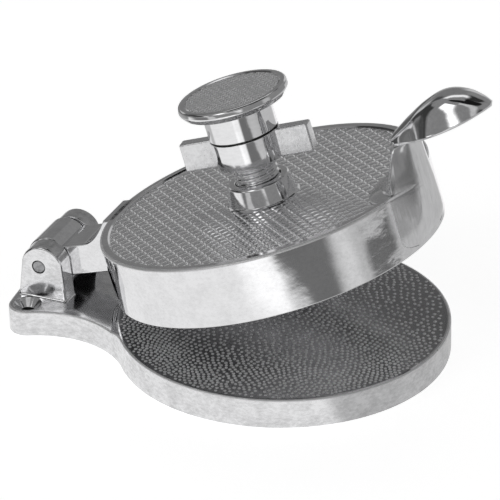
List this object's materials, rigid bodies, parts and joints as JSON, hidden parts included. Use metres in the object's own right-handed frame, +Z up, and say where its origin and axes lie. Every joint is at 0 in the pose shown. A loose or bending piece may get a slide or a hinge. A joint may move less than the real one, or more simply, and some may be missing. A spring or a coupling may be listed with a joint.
{
  "type": "burger press",
  "caption": "Hinged cast burger press: round base, swinging ring lid with a spoon-shaped lever, wing nut that sets the patty thickness and a knob that pushes the patty out.",
  "frame": {"origin": "centre of the round base, on the surface that the press stands on", "axes": "+X from the hinge towards the lever, +Z up, the hinge axis along Y; at rest the lid stands 16.86 degrees open"},
  "size_m": [0.1845, 0.126, 0.118],
  "materials": {
    "base_casting": "polished cast aluminium with a pebbled round top",
    "lid_casting": "polished cast aluminium with a knurled top",
    "knob": "bright polished aluminium with a knurled face",
    "wing_nut": "bright polished aluminium",
    "press_plate": "satin turned aluminium",
    "hinge_pin": "plain ground steel",
    "plunger_rod": "bright steel rod",
    "plate_screw": "plain steel",
    "thrust_washer": "thin black nylon"
  },
  "bodies": {
    "base": {"base_casting": "base_casting", "hinge_pin": "hinge_pin"},
    "lid": {"lid_casting": "lid_casting"},
    "washer": {"thrust_washer": "thrust_washer"},
    "adjuster": {"wing_nut": "wing_nut"},
    "plunger": {"knob": "knob", "plunger_rod": "plunger_rod", "press_plate": "press_plate", "plate_screw": "plate_screw"}
  },
  "joints": [
    {"name": "lid_hinge", "type": "hinge", "parent": "base", "child": "lid", "pos_m": [-0.0924, 0, 0.02306], "axis": [0, -1, 0], "range_deg": [-16.86, 93.14]},
    {"name": "adjuster_travel", "type": "slide", "parent": "lid", "child": "washer", "axis": [-0.29, 0, 0.957], "range_m": [-0.006, 0.0025]},
    {"name": "adjuster_turn", "type": "hinge", "parent": "washer", "child": "adjuster", "pos_m": [-0.01324, 0, 0.08043], "axis": [-0.29, 0, 0.957], "range_deg": [-1080, 450]},
    {"name": "plunger_slide", "type": "slide", "parent": "washer", "child": "plunger", "axis": [-0.29, 0, 0.957], "range_m": [0, 0.006]}
  ],
  "couplings": [
    {"joint": "adjuster_turn", "follows": "adjuster_travel", "rad_per_m": 3141.6}
  ]
}
